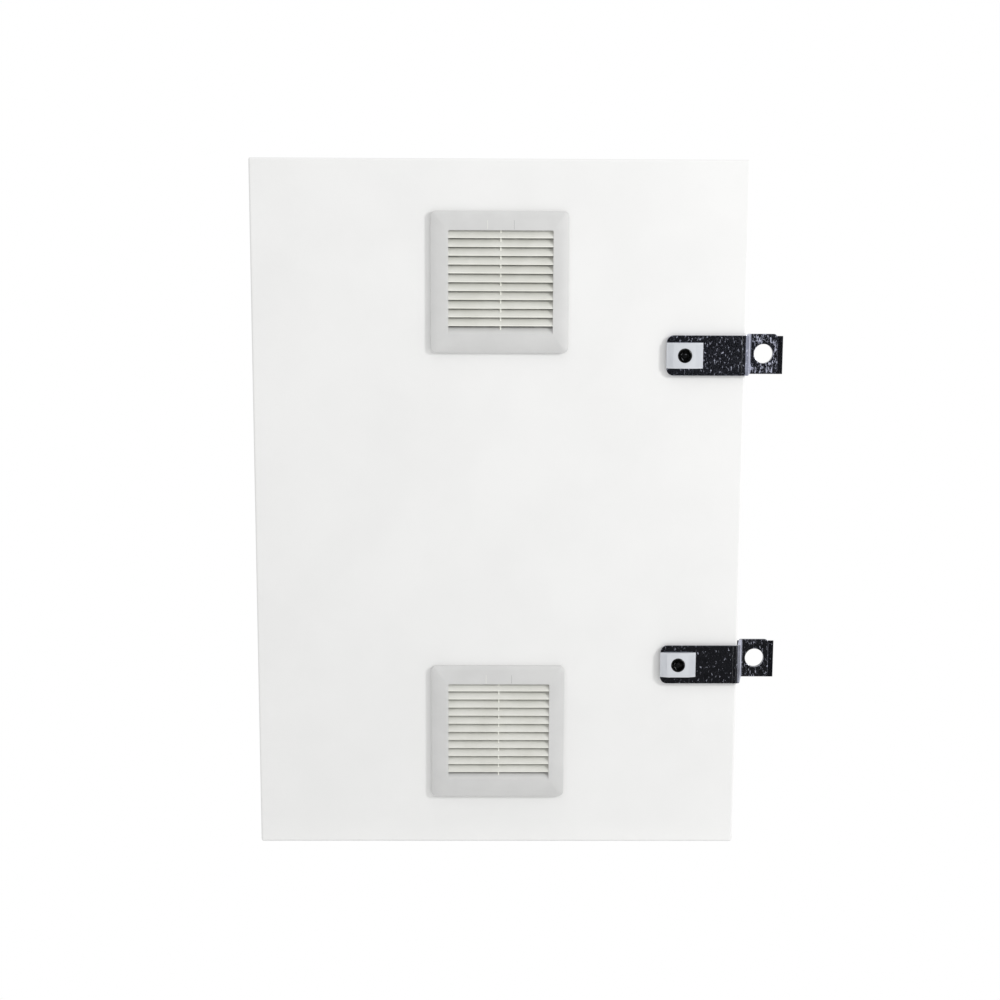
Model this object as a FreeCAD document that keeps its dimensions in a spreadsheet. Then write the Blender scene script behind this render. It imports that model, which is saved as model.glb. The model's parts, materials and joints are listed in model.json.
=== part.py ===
import FreeCAD, Part
import os
import re
import Sketcher

# Automatic transfer switch in a wall enclosure of sheet steel.
# X runs to the right, Y towards the wall and Z up. The origin is the centre of the back face.

doc = FreeCAD.newDocument("TransferSwitch")
sheet = doc.addObject("Spreadsheet::Sheet", "Sizes")
nodes = []

SIZES = {
    # the enclosure and its door
    "enclosure_width": 500, "enclosure_height": 700, "enclosure_depth": 250,
    "sheet_steel": 1.5, "door_depth": 18, "door_gap": 2, "bend_radius": 2,
    "flange_width": 26, "collar_height": 12, "gasket_width": 8, "gasket_gap": 0.3,
    "wall_hole_radius": 4.25, "wall_hole_inset": 20,
    # ventilation grilles, whose other sizes follow the cut-out in the door
    "cutout_size": 124, "cover_lap_across": 15, "cover_lap_up": 15, "grille_stand": 8,
    "grille_inset": 120, "grille_corner": 7, "base_metal": 1.5, "base_wall": 2, "base_depth": 18,
    "base_lip": 4, "clip_gap": 0.3, "louvre_inset_across": 9, "louvre_inset_up": 11.3,
    "louvre_count": 12, "louvre_overrun": 2.4, "blade_setback": 0.4, "blade_nose": 1.4,
    "blade_heel": 0.8, "chamfer_width": 6, "chamfer_drop": 1.8, "grid_margin": 8, "grid_bar": 2,
    "grid_count": 5,
    # padlock hasps
    "hasp_inset": 191.5, "hasp_width": 40, "hasp_metal": 3, "hasp_seal": 2, "hasp_reach": 80.5,
    "web_front": 2.6, "web_inside": 0.03, "web_foot": 9, "web_heel": 6.4, "tab_end": 37.2,
    "tab_drop": 18.6, "tab_gap": 0.5, "plate_corner": 7, "tab_corner": 4.5, "hasp_bend": 4,
    "padlock_radius": 9.8, "padlock_offset": 22.6, "cabinet_tab_end": 43, "bracket_leg": 44,
    "cabinet_tab_width": 38.5, "cabinet_tab_drop": 1.5, "rivet_radius": 2.4, "rivet_head": 1.9,
    # double-bit locks
    "lock_inset": 62.3, "block_width": 37.2, "block_height": 25.6, "block_stand": 5, "block_edge": 1.5,
    "block_slope": 8, "socket_radius": 7.25, "barrel_radius": 10, "running_gap": 0.05,
    "socket_depth": 8, "pin_setback": 1, "pin_radius": 2.5, "bit_reach": 4.6, "shank_half": 3.5,
    "cam_gap": 0.5, "cam_metal": 3, "cam_length": 52, "cam_half": 8, "cam_screw": 5.6,
    "nut_radius": 15, "nut_metal": 5,
    # concealed hinges
    "hinge_inset": 100, "hinge_back": 6, "knuckle_radius": 4, "hinge_bore": 2, "hinge_half": 20,
    "knuckle_half": 7.2, "knuckle_gap": 0.3, "leaf_metal": 2, "arm_reach": 15, "notch_half": 25,
    # mounting plate and gland plate
    "plate_inset": 35, "plate_metal": 2.5, "plate_back": 24, "stud_inset": 50, "stud_radius": 4,
    "stud_end": 12, "stud_nut": 7.2, "stud_nut_metal": 6.4, "gland_half": 120, "gland_near": 50,
    "gland_far": 180, "gland_lap": 12, "gland_metal": 2, "gland_screw": 4,
    # changeover switch
    "switch_gap": 55, "pole_gap": 50, "pole_height": 140, "pole_depth": 85, "pole_pitch": 26,
    "pole_count": 4, "pole_border": 6, "pole_slot": 20, "slot_height": 30, "slot_depth": 50,
    "ledge_height": 40, "ledge_stand": 4, "bar_metal": 4, "bar_width": 16, "bolt_radius": 5,
    "bolt_inset": 12, "frame_metal": 3, "operator_half": 48, "operator_height": 120,
    "operator_depth": 100, "shaft_radius": 6, "shaft_length": 38, "shaft_bore": 40,
    "handle_gap": 0.5, "handle_radius": 17, "handle_length": 46, "handle_width": 14,
    "handle_stand": 22, "grip_gap": 4,
    # rail-mounted devices
    "rail_inset": 130, "rail_width": 35, "rail_channel": 25, "rail_depth": 7.5, "rail_metal": 1,
    "breaker_width": 36, "breaker_height": 85, "breaker_depth": 62, "shoulder_depth": 45,
    "nose_height": 45, "breaker_left": 20, "breaker_gap": 6, "rail_overrun": 8,
    "lever_radius": 6, "lever_half": 2, "lever_throw": 17, "lever_wall": 6, "lever_side_gap": 0.4,
    "lever_setback": 5, "case_left": 165, "case_width": 140, "case_height": 110,
    "case_depth": 62, "case_corner": 3, "screen_width": 76, "screen_height": 46,
    "screen_rise": 12, "screen_recess": 3, "screen_metal": 2, "button_radius": 6,
    "button_pitch": 22, "button_drop": 34, "button_stand": 2, "button_root": 5, "button_well": 8,
    # terminals, wiring ducts and the earth bar
    "terminal_inset": 160, "terminal_width": 8, "terminal_height": 48, "terminal_depth": 44,
    "terminal_gap": 0.1, "terminal_well": 2.6, "well_depth": 9, "well_rise": 14,
    "bracket_width": 9, "bracket_height": 36, "bracket_depth": 31, "duct_inset": 45,
    "duct_width": 30, "duct_depth": 60, "duct_end": 80, "duct_wall": 1.5, "duct_pitch": 20,
    "duct_slot": 8, "slot_front": 6, "slot_back": 12, "earth_inset": 85, "earth_half": 150,
    "earth_height": 12, "earth_metal": 8, "insulator_height": 20, "insulator_radius": 8,
    "insulator_inset": 12, "earth_pitch": 20, "earth_screw": 3.6, "earth_screw_head": 4,
}
TERMINALS_EACH_SIDE = 10
EARTH_SCREWS = 12
POLES = SIZES["pole_count"]

for row, (alias, value) in enumerate(SIZES.items(), start=1):
    sheet.set(f"A{row}", str(value))
    sheet.setAlias(f"A{row}", alias)
doc.recompute()

PLANES = {"XY": ("XY_Plane", 1), "XZ": ("XZ_Plane", -1), "YZ": ("YZ_Plane", 1)}
TURNS = {
    "X": FreeCAD.Rotation(FreeCAD.Vector(0, 1, 0), 90),
    "Y": FreeCAD.Rotation(FreeCAD.Vector(1, 0, 0), -90),
    "Z": FreeCAD.Rotation(),
}


def sized(text):
    """Writes each alias in an expression as a cell of the sheet."""
    return re.sub(r"[a-z]+(?:_[a-z]+)+", r"Sizes.\g<0>", str(text))


def value_of(text):
    """The number that an expression gives now."""
    result = sheet.evalExpression(sized(text))
    return float(getattr(result, "Value", result))


def bind(item, name, text):
    item.setExpression(name, sized(text))


def place(item, x="0", y="0", z="0"):
    for axis, text in zip("xyz", (x, y, z)):
        bind(item, f"Placement.Base.{axis}", text)


# Part Design pieces

def new_body(label, x="0", y="0", z="0"):
    body = doc.addObject("PartDesign::Body", label)
    place(body, x, y, z)
    nodes.append(body)
    return body


def new_sketch(body, plane, level):
    """A sketch parallel to an origin plane, at a level along that plane's axis."""
    role, sign = PLANES[plane]
    origin_plane = next(item for item in body.Origin.OriginFeatures if item.Role == role)
    sketch = body.newObject("Sketcher::SketchObject", "Sketch")
    sketch.AttachmentSupport = [(origin_plane, "")]
    sketch.MapMode = "FlatFace"
    bind(sketch, "AttachmentOffset.Base.z", f"{sign} * ({level})")
    return sketch


def fix_point(sketch, line, end, u, v):
    for kind, text in (("DistanceX", u), ("DistanceY", v)):
        number = sketch.addConstraint(Sketcher.Constraint(kind, -1, 1, line, end, value_of(text)))
        bind(sketch, f"Constraints[{number}]", text)


def draw_outline(sketch, corners):
    """Straight lines through the corners, closed, each corner placed from the origin."""
    first = sketch.GeometryCount
    spots = [FreeCAD.Vector(value_of(u), value_of(v), 0) for u, v in corners]
    for start, end in zip(spots, spots[1:] + spots[:1]):
        sketch.addGeometry(Part.LineSegment(start, end))
    for step, (u, v) in enumerate(corners):
        following = first + (step + 1) % len(corners)
        sketch.addConstraint(Sketcher.Constraint("Coincident", first + step, 2, following, 1))
        fix_point(sketch, first + step, 1, u, v)


def draw_box(sketch, u, v):
    draw_outline(sketch, [(u[0], v[0]), (u[1], v[0]), (u[1], v[1]), (u[0], v[1])])


def draw_circle(sketch, u, v, radius):
    centre = FreeCAD.Vector(value_of(u), value_of(v), 0)
    number = sketch.addGeometry(Part.Circle(centre, FreeCAD.Vector(0, 0, 1), value_of(radius)))
    fix_point(sketch, number, 3, u, v)
    size = sketch.addConstraint(Sketcher.Constraint("Radius", number, value_of(radius)))
    bind(sketch, f"Constraints[{size}]", radius)


def pad(body, sketch, length, symmetric=False):
    """Adds material: towards -Y from an XZ sketch, +Z from XY and +X from YZ."""
    feature = body.newObject("PartDesign::Pad", "Pad")
    feature.Profile = sketch
    bind(feature, "Length", length)
    if symmetric:
        feature.SideType = "Symmetric"
    body.Tip = feature
    return feature


def pocket(body, sketch, length=None):
    """Cuts material the other way from a pad, or right through when no length is given."""
    before = solid_volume(body)
    feature = body.newObject("PartDesign::Pocket", "Pocket")
    feature.Profile = sketch
    if length is None:
        feature.Type = "ThroughAll"
        feature.SideType = "Symmetric"
    else:
        bind(feature, "Length", length)
    body.Tip = feature
    if solid_volume(body) >= before:
        raise ValueError(f"{body.Label}: a pocket cuts nothing")
    return feature


def solid_volume(body):
    doc.recompute()
    return body.Shape.Volume


def repeat_feature(body, feature, direction, pitch, count):
    pattern = body.newObject("PartDesign::LinearPattern", "Row")
    pattern.Originals = [feature]
    axis = next(item for item in body.Origin.OriginFeatures if item.Role == direction)
    pattern.Direction = (axis, [""])
    pattern.Mode = "Spacing"
    bind(pattern, "Offset", pitch)
    bind(pattern, "Occurrences", count)
    body.Tip = pattern
    return pattern


def round_edges(body, radius, wanted):
    """Fillets the edges whose direction and middle point pass the test."""
    doc.recompute()
    base = body.Tip
    names = []
    for number, edge in enumerate(base.Shape.Edges, start=1):
        ends = edge.Vertexes
        if len(ends) != 2:
            continue
        run = ends[1].Point - ends[0].Point
        middle = edge.valueAt((edge.FirstParameter + edge.LastParameter) / 2)
        if wanted(run, middle):
            names.append(f"Edge{number}")
    fillet = body.newObject("PartDesign::Fillet", "Fillet")
    fillet.Base = (base, names)
    bind(fillet, "Radius", radius)
    body.Tip = fillet
    return fillet


def runs_along(run, axis):
    return abs(getattr(run, axis)) > 0.999 * run.Length


def on_rim(run, middle, front):
    """The folded edges of a shallow box: its corners, and the border of its front."""
    return runs_along(run, "y") or abs(middle.y - front) < 0.01


# Part pieces, made from primitives and booleans

def block(x, y, z):
    item = doc.addObject("Part::Box", "Block")
    for name, (low, high) in zip(("Length", "Width", "Height"), (x, y, z)):
        bind(item, name, f"({high}) - ({low})")
    place(item, x[0], y[0], z[0])
    return item


def rod(radius, low, high, along, x="0", y="0", z="0"):
    """A cylinder between two levels along an axis, centred on the other two coordinates."""
    item = doc.addObject("Part::Cylinder", "Rod")
    item.Placement = FreeCAD.Placement(FreeCAD.Vector(), TURNS[along])
    bind(item, "Radius", radius)
    bind(item, "Height", f"({high}) - ({low})")
    spot = {"X": x, "Y": y, "Z": z}
    spot[along] = low
    place(item, spot["X"], spot["Y"], spot["Z"])
    return item


def hexagon(radius, low, high, x, z):
    """A six-sided bar along Y, such as a nut."""
    item = doc.addObject("Part::Prism", "Hexagon")
    item.Polygon = 6
    item.Placement = FreeCAD.Placement(FreeCAD.Vector(), TURNS["Y"])
    bind(item, "Circumradius", radius)
    bind(item, "Height", f"({high}) - ({low})")
    place(item, x, low, z)
    return item


def joined(*pieces):
    item = doc.addObject("Part::MultiFuse", "Joined")
    item.Shapes = list(pieces)
    return item


def without(base, *tools):
    item = doc.addObject("Part::Cut", "Cut")
    item.Base = base
    item.Tool = tools[0] if len(tools) == 1 else joined(*tools)
    return item


def node(label, item):
    item.Label = label
    nodes.append(item)
    return item


def group(label, pieces):
    """Identical small pieces, kept as separate solids under one name."""
    item = doc.addObject("Part::Compound", label)
    item.Links = list(pieces)
    return node(label, item)


# Levels that several pieces share

SIDE = "enclosure_width / 2"
TOP = "enclosure_height / 2"
DOOR_FRONT = "-enclosure_depth"
DOOR_INSIDE = "(sheet_steel - enclosure_depth)"
DOOR_BACK = "(door_depth - enclosure_depth)"
FLANGE = "(door_depth + door_gap - enclosure_depth)"
COLLAR_TIP = f"({FLANGE} - collar_height)"
COLLAR_SIDE = f"({SIDE} - flange_width)"
COLLAR_TOP = f"({TOP} - flange_width)"
GRILLE_LEVEL = f"({TOP} - grille_inset)"
GRILLE_FRONT = "(-enclosure_depth - grille_stand)"
HASP_LEVEL = f"({TOP} - hasp_inset)"
HASP_BACK = "(-enclosure_depth - hasp_seal)"
HASP_FRONT = "(-enclosure_depth - hasp_seal - hasp_metal)"
TAB_FRONT = "(door_depth + tab_drop - enclosure_depth)"
TAB_BACK = f"({TAB_FRONT} + hasp_metal)"
CABINET_TAB = f"({TAB_BACK} + tab_gap)"
PADLOCK_X = f"({SIDE} + padlock_offset)"
LOCK_X = f"({SIDE} - lock_inset)"
BLOCK_FRONT = f"({HASP_FRONT} - block_stand)"
CAM_FRONT = f"({FLANGE} + sheet_steel + cam_gap)"
CAM_BACK = f"({CAM_FRONT} + cam_metal)"
HINGE_LEVEL = f"({TOP} - hinge_inset)"
HINGE_X = f"(hinge_back - {SIDE})"
HINGE_Y = "(hinge_back - enclosure_depth)"
PLATE_BACK = "(-plate_back)"
PLATE_FRONT = "(-plate_back - plate_metal)"
RAIL_LEVEL = f"({TOP} - rail_inset)"
TERMINAL_LEVEL = f"(terminal_inset - {TOP})"
EARTH_LEVEL = f"(earth_inset - {TOP})"
SWITCH_LEVEL = f"({RAIL_LEVEL} - case_height / 2 - switch_gap - pole_height / 2)"
POLE_WIDTH = "(pole_count * pole_pitch + pole_border)"
GRILLE_WIDTH = "(cutout_size + cover_lap_across)"
GRILLE_HEIGHT = "(cutout_size + cover_lap_up)"
LOUVRE_SIDE = "(cutout_size / 2 - louvre_inset_across)"
LOUVRE_TOP = "(cutout_size / 2 - louvre_inset_up)"
LOUVRE_PITCH = f"((2 * {LOUVRE_TOP} + louvre_overrun) / louvre_count)"
GRID_PITCH = "(cutout_size / 4 - grid_margin)"
DUCT_HALF = f"({TOP} - duct_end)"
ENDS = (("upper", "1"), ("lower", "-1"))


def both_ways(text):
    return (f"-({text})", f"({text})")


# The cabinet: a folded box with a flange and a rain collar round its front opening

def make_cabinet_shell():
    body = new_body("cabinet_shell")
    outside = new_sketch(body, "XZ", "0")
    draw_box(outside, both_ways(SIDE), both_ways(TOP))
    pad(body, outside, f"-{FLANGE}")
    front = value_of(FLANGE)
    round_edges(body, "bend_radius", lambda run, middle: on_rim(run, middle, front))
    cavity = new_sketch(body, "XZ", f"{FLANGE} + sheet_steel")
    draw_box(cavity, both_ways(f"{SIDE} - sheet_steel"), both_ways(f"{TOP} - sheet_steel"))
    pocket(body, cavity, f"-{FLANGE} - 2 * sheet_steel")
    opening = new_sketch(body, "XZ", FLANGE)
    draw_box(opening, both_ways(COLLAR_SIDE), both_ways(COLLAR_TOP))
    pocket(body, opening, "sheet_steel")
    collar = new_sketch(body, "XZ", FLANGE)
    around = (both_ways(f"{COLLAR_SIDE} + sheet_steel"), both_ways(f"{COLLAR_TOP} + sheet_steel"))
    draw_box(collar, *around)
    draw_box(collar, both_ways(COLLAR_SIDE), both_ways(COLLAR_TOP))
    pad(body, collar, "collar_height")
    gland = new_sketch(body, "XY", f"sheet_steel - {TOP}")
    gland_y = ("gland_lap - gland_far", "-gland_near - gland_lap")
    draw_box(gland, both_ways("gland_half - gland_lap"), gland_y)
    pocket(body, gland, "sheet_steel")
    for across in (-1, 1):
        for up in (-1, 1):
            hole = new_sketch(body, "XZ", "-sheet_steel")
            x = f"{across} * ({SIDE} - wall_hole_inset)"
            draw_circle(hole, x, f"{up} * ({TOP} - wall_hole_inset)", "wall_hole_radius")
            pocket(body, hole, "sheet_steel")
    rivets = new_sketch(body, "YZ", SIDE)
    for y, z in rivet_places():
        draw_circle(rivets, y, z, "rivet_radius")
    pocket(body, rivets, "sheet_steel")


def rivet_places():
    """Two rivets in the leg of each cabinet tab."""
    y = f"({CABINET_TAB} + bracket_leg / 2)"
    levels = [f"{sign} * {HASP_LEVEL}" for _, sign in ENDS]
    return [(y, f"{level} + {side} * hasp_width / 4") for level in levels for side in (-1, 1)]


def make_cabinet_tabs():
    for name, sign in ENDS:
        body = new_body(f"{name}_cabinet_tab", z=f"{sign} * {HASP_LEVEL} - cabinet_tab_drop")
        profile = new_sketch(body, "XY", "0")
        outer = f"({SIDE} + cabinet_tab_end)"
        draw_outline(profile, [
            (SIDE, CABINET_TAB),
            (outer, CABINET_TAB),
            (outer, f"{CABINET_TAB} + hasp_metal"),
            (f"{SIDE} + hasp_metal", f"{CABINET_TAB} + hasp_metal"),
            (f"{SIDE} + hasp_metal", f"{CABINET_TAB} + bracket_leg"),
            (SIDE, f"{CABINET_TAB} + bracket_leg"),
        ])
        pad(body, profile, "cabinet_tab_width", symmetric=True)
        hole = new_sketch(body, "XZ", "0")
        draw_circle(hole, PADLOCK_X, "cabinet_tab_drop", "padlock_radius")
        pocket(body, hole)
        rivets = new_sketch(body, "YZ", SIDE)
        for side in (-1, 1):
            y = f"({CABINET_TAB} + bracket_leg / 2)"
            draw_circle(rivets, y, f"cabinet_tab_drop + {side} * hasp_width / 4", "rivet_radius")
        pocket(body, rivets)
    rivets = []
    for y, z in rivet_places():
        seat = f"({SIDE} + hasp_metal)"
        shank = rod("rivet_radius", f"{SIDE} - sheet_steel", seat, "X", y=y, z=z)
        head = rod("2 * rivet_radius", seat, f"{seat} + rivet_head", "X", y=y, z=z)
        rivets.append(joined(shank, head))
    group("tab_rivets", rivets)


def make_hinges():
    y_arm = f"({HINGE_Y} - 1.5 * leaf_metal)"
    arm_x = (f"{HINGE_X} + arm_reach - leaf_metal", f"{HINGE_X} + arm_reach")
    knuckles = (("-hinge_half", "-knuckle_half - knuckle_gap"),
                ("knuckle_half + knuckle_gap", "hinge_half"))
    pins = []
    for name, sign in ENDS:
        level = f"({sign} * {HINGE_LEVEL})"
        fixed = []
        for low, high in knuckles:
            z = (f"{level} + {low}", f"{level} + {high}")
            fixed.append(rod("knuckle_radius", z[0], z[1], "Z", x=HINGE_X, y=HINGE_Y))
            fixed.append(block((HINGE_X, arm_x[1]), (y_arm, f"{y_arm} + leaf_metal"), z))
            fixed.append(block(arm_x, (y_arm, FLANGE), z))
        ends = (f"{level} - hinge_half", f"{level} + hinge_half")
        foot_x = (f"{HINGE_X} - leaf_metal", arm_x[1])
        fixed.append(block(foot_x, (f"{FLANGE} - leaf_metal", FLANGE), ends))
        bore = rod("hinge_bore", ends[0], ends[1], "Z", x=HINGE_X, y=HINGE_Y)
        node(f"{name}_cabinet_hinge", without(joined(*fixed), bore))
        z = (f"{level} - knuckle_half", f"{level} + knuckle_half")
        knuckle = rod("knuckle_radius", z[0], z[1], "Z", x=HINGE_X, y=HINGE_Y)
        leaf_y = (DOOR_INSIDE, f"{DOOR_INSIDE} + leaf_metal")
        leaf = block((HINGE_X, f"{HINGE_X} + arm_reach - 2 * leaf_metal"), leaf_y, z)
        bore = rod("hinge_bore", z[0], z[1], "Z", x=HINGE_X, y=HINGE_Y)
        node(f"{name}_door_hinge", without(joined(knuckle, leaf), bore))
        pins.append(rod("hinge_bore - running_gap", ends[0], ends[1], "Z", x=HINGE_X, y=HINGE_Y))
    group("hinge_pins", pins)


def make_mounting_plate():
    body = new_body("mounting_plate")
    face = new_sketch(body, "XZ", PLATE_BACK)
    draw_box(face, both_ways(f"{SIDE} - plate_inset"), both_ways(f"{TOP} - plate_inset"))
    pad(body, face, "plate_metal")
    holes = new_sketch(body, "XZ", "0")
    studs = []
    for across in (-1, 1):
        for up in (-1, 1):
            x = f"{across} * ({SIDE} - stud_inset)"
            z = f"{up} * ({TOP} - stud_inset)"
            draw_circle(holes, x, z, "stud_radius + clip_gap")
            stud = rod("stud_radius", f"{PLATE_FRONT} - stud_end", "-sheet_steel", "Y", x=x, z=z)
            spacer = rod("stud_nut", PLATE_BACK, "-sheet_steel", "Y", x=x, z=z)
            nut = hexagon("stud_nut", f"{PLATE_FRONT} - stud_nut_metal", PLATE_FRONT, x, z)
            studs.append(joined(stud, spacer, nut))
    pocket(body, holes)
    group("plate_studs", studs)


def make_gland_plate():
    floor = f"(sheet_steel - {TOP})"
    x = both_ways("gland_half")
    y = ("-gland_far", "-gland_near")
    seat = f"({floor} + gland_metal)"
    inner_x = both_ways("gland_half - gland_lap")
    inner = block(inner_x, ("gland_lap - gland_far", "-gland_near - gland_lap"), (floor, seat))
    node("gland_gasket", without(block(x, y, (floor, seat)), inner))
    top = f"({seat} + gland_metal)"
    node("gland_plate", block(x, y, (seat, top)))
    screws = []
    for across in (-1, 0, 1):
        for y_screw in ("gland_lap / 2 - gland_far", "-gland_near - gland_lap / 2"):
            x_screw = f"{across} * (gland_half - gland_lap / 2)"
            screws.append(rod("gland_screw", top, f"{top} + gland_metal", "Z", x=x_screw, y=y_screw))
    group("gland_screws", screws)


# The door and what is fixed to it

def make_door_panel():
    body = new_body("door_panel")
    outside = new_sketch(body, "XZ", DOOR_BACK)
    draw_box(outside, both_ways(SIDE), both_ways(TOP))
    pad(body, outside, "door_depth")
    front = value_of(DOOR_FRONT)
    round_edges(body, "bend_radius", lambda run, middle: on_rim(run, middle, front))
    inside = new_sketch(body, "XZ", DOOR_INSIDE)
    draw_box(inside, both_ways(f"{SIDE} - sheet_steel"), both_ways(f"{TOP} - sheet_steel"))
    pocket(body, inside, "door_depth - sheet_steel")
    holes = new_sketch(body, "XZ", DOOR_FRONT)
    for _, sign in ENDS:
        level = f"{sign} * {GRILLE_LEVEL}"
        z = (f"{level} - cutout_size / 2", f"{level} + cutout_size / 2")
        draw_box(holes, both_ways("cutout_size / 2"), z)
        draw_circle(holes, LOCK_X, f"{sign} * {HASP_LEVEL}", "barrel_radius")
    pocket(body, holes, "sheet_steel")
    notches = new_sketch(body, "YZ", f"sheet_steel - {SIDE}")
    for _, sign in ENDS:
        level = f"({sign} * {HINGE_LEVEL})"
        y = (f"{HINGE_Y} + hinge_back", DOOR_BACK)
        draw_box(notches, y, (f"{level} - notch_half", f"{level} + notch_half"))
    pocket(body, notches, "sheet_steel")


def make_door_gasket():
    body = new_body("door_gasket")
    ring = new_sketch(body, "XZ", f"{COLLAR_TIP} - gasket_gap")
    inner = "(sheet_steel / 2 - gasket_width / 2 - 2 * gasket_gap)"
    outer = f"({inner} + gasket_width)"
    draw_box(ring, both_ways(f"{COLLAR_SIDE} + {outer}"), both_ways(f"{COLLAR_TOP} + {outer}"))
    draw_box(ring, both_ways(f"{COLLAR_SIDE} + {inner}"), both_ways(f"{COLLAR_TOP} + {inner}"))
    pad(body, ring, f"{COLLAR_TIP} - gasket_gap - {DOOR_INSIDE}")


def make_grilles():
    for name, sign in ENDS:
        level = f"{sign} * {GRILLE_LEVEL}"
        make_grille_base(f"{name}_grille_base", level)
        make_filter_mat(f"{name}_filter_mat", level)
        make_grille_cover(f"{name}_grille_cover", level)


def make_grille_base(label, level):
    """The frame that snaps into the door's cut-out, with a lip in front and a grid at the back."""
    body = new_body(label, z=level)
    wall = "(cutout_size / 2 - clip_gap)"
    hollow = f"({wall} - base_wall)"
    lip = new_sketch(body, "XZ", DOOR_FRONT)
    draw_box(lip, both_ways("cutout_size / 2 + base_lip"), both_ways("cutout_size / 2 + base_lip"))
    draw_box(lip, both_ways(hollow), both_ways(hollow))
    pad(body, lip, "base_metal")
    sleeve = new_sketch(body, "XZ", f"{DOOR_FRONT} + base_depth")
    draw_box(sleeve, both_ways(wall), both_ways(wall))
    draw_box(sleeve, both_ways(hollow), both_ways(hollow))
    pad(body, sleeve, "base_depth")
    first = f"(grid_count - 1) / 2 * {GRID_PITCH}"
    start = (f"-{first} - grid_bar / 2", f"-{first} + grid_bar / 2")
    for axis in ("X_Axis", "Z_Axis"):
        bar = new_sketch(body, "XZ", f"{DOOR_FRONT} + base_depth")
        sides = (start, both_ways(hollow)) if axis == "X_Axis" else (both_ways(hollow), start)
        draw_box(bar, *sides)
        feature = pad(body, bar, "grid_bar")
        repeat_feature(body, feature, axis, GRID_PITCH, "grid_count")


def make_filter_mat(label, level):
    body = new_body(label, z=level)
    face = new_sketch(body, "XZ", f"{DOOR_FRONT} + base_depth - grid_bar - clip_gap")
    half = "cutout_size / 2 - 2 * clip_gap - base_wall"
    draw_box(face, both_ways(half), both_ways(half))
    pad(body, face, "base_depth - grid_bar - 3 * clip_gap")


def make_grille_cover(label, level):
    """The louvred cover: blades slope down and outwards, so that water runs off in front."""
    body = new_body(label, z=level)
    back = f"({DOOR_FRONT} - clip_gap)"
    outside = new_sketch(body, "XZ", back)
    draw_box(outside, both_ways(f"{GRILLE_WIDTH} / 2"), both_ways(f"{GRILLE_HEIGHT} / 2"))
    pad(body, outside, "grille_stand - clip_gap")
    round_edges(body, "grille_corner", lambda run, middle: runs_along(run, "y"))
    slope_border(body)
    recess = new_sketch(body, "XZ", f"{DOOR_FRONT} - base_metal - clip_gap")
    half = "cutout_size / 2 + base_lip + clip_gap"
    draw_box(recess, both_ways(half), both_ways(half))
    pocket(body, recess, "base_metal")
    opening = new_sketch(body, "XZ", GRILLE_FRONT)
    draw_box(opening, both_ways(LOUVRE_SIDE), both_ways(LOUVRE_TOP))
    pocket(body, opening, "grille_stand")
    blade = new_sketch(body, "YZ", f"-{LOUVRE_SIDE} - clip_gap")
    nose = f"({GRILLE_FRONT} + blade_setback)"
    heel = f"({DOOR_FRONT} - base_metal - 2 * clip_gap)"
    draw_outline(blade, [
        (nose, f"{LOUVRE_TOP} - 0.86 * {LOUVRE_PITCH}"),
        (f"{nose} + blade_nose", f"{LOUVRE_TOP} - 0.86 * {LOUVRE_PITCH}"),
        (heel, f"{LOUVRE_TOP} - 0.22 * {LOUVRE_PITCH}"),
        (heel, f"{LOUVRE_TOP} - 0.01 * {LOUVRE_PITCH}"),
        (f"{heel} - blade_heel", f"{LOUVRE_TOP} - 0.01 * {LOUVRE_PITCH}"),
        (nose, f"{LOUVRE_TOP} - 0.70 * {LOUVRE_PITCH}"),
    ])
    first = pad(body, blade, f"2 * {LOUVRE_SIDE} + 2 * clip_gap")
    row = repeat_feature(body, first, "Z_Axis", LOUVRE_PITCH, "louvre_count")
    row.Reversed = True
    rib = new_sketch(body, "XZ", heel)
    draw_box(rib, both_ways("clip_gap"), both_ways(f"{LOUVRE_TOP} + clip_gap"))
    pad(body, rib, "base_metal")


def slope_border(body):
    """Slopes the border of a cover's front face back all round."""
    doc.recompute()
    front = value_of(GRILLE_FRONT)
    rounded = body.Tip
    centres = [face.CenterOfMass.y for face in rounded.Shape.Faces]
    number = next(n for n, y in enumerate(centres, start=1) if abs(y - front) < 0.01)
    chamfer = body.newObject("PartDesign::Chamfer", "Chamfer")
    chamfer.Base = (rounded, [f"Face{number}"])
    chamfer.ChamferType = "Two distances"
    bind(chamfer, "Size", "chamfer_drop")
    bind(chamfer, "Size2", "chamfer_width")
    chamfer.FlipDirection = True
    body.Tip = chamfer


def make_hasps():
    for name, sign in ENDS:
        level = f"{sign} * {HASP_LEVEL}"
        make_hasp_plate(f"{name}_hasp", level)
        seal = new_body(f"{name}_hasp_seal", z=level)
        face = new_sketch(seal, "XZ", DOOR_FRONT)
        x = (f"{SIDE} - hasp_reach + 2 * hasp_seal", f"{SIDE} - 2 * hasp_seal")
        draw_box(face, x, both_ways("hasp_width / 2 - hasp_seal"))
        draw_circle(face, LOCK_X, "0", "barrel_radius")
        pad(seal, face, "hasp_seal")


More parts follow.
